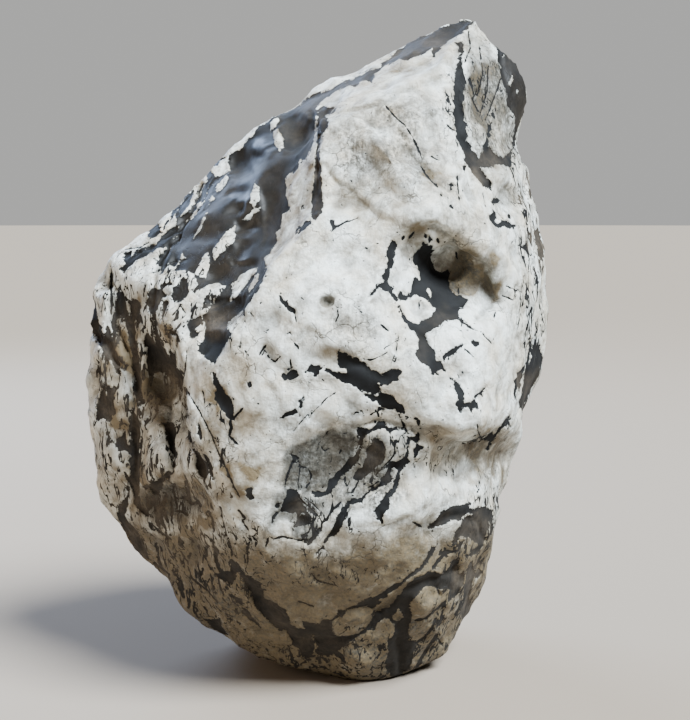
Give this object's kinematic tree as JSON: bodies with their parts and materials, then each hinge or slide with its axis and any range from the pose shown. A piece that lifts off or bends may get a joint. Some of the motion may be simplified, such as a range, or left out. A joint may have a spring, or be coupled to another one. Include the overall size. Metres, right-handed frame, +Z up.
{
  "type": "chrysanthemum stone",
  "caption": "Free-standing display boulder with a peaked top, a bowl-shaped hollow high on its front and a flat foot; white crystal rock veined and patched with black.",
  "frame": {"origin": "centre of the bounding box at the ground, on the plane of the flat foot", "axes": "+Z up through the peak, the longest extent; -Y towards the viewer, out of the front with the bowl-shaped hollow; +X to the right of the front"},
  "size_m": [0.2464, 0.2164, 0.3483],
  "materials": {
    "crystal_rock": "chalky white crystal masses in smooth black rock, broken and weathered"
  },
  "bodies": {
    "root": {"chrysanthemum_stone": "crystal_rock"}
  },
  "joints": []
}
